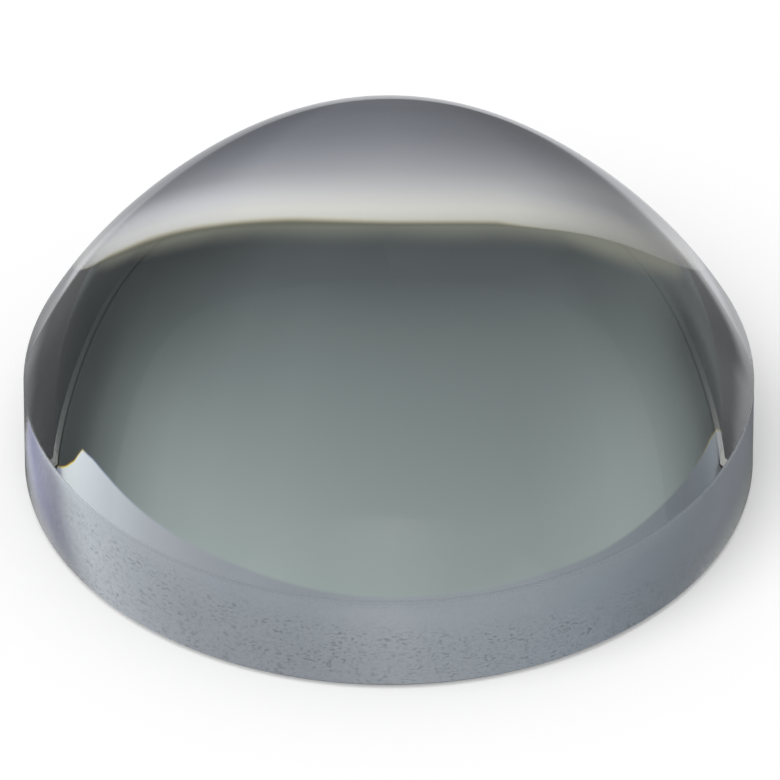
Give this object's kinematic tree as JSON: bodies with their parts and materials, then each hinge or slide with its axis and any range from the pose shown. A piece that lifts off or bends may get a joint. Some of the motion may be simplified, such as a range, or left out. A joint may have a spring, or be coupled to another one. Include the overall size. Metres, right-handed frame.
{
  "type": "aspheric condenser lens",
  "caption": "Plano-convex glass condenser lens with a steep polished aspheric dome, a polished flat face and a fine-ground round edge.",
  "frame": {"origin": "centre of the flat face", "axes": "+Z along the optical axis, from the flat face towards the dome; the part is round, so X and Y are any two directions across it"},
  "size_m": [0.025, 0.025, 0.0131],
  "materials": {
    "optical_glass": "clear optical glass, dome and flat face polished, side wall fine-ground and matt"
  },
  "bodies": {
    "root": {"condenser_lens": "optical_glass"}
  },
  "joints": []
}
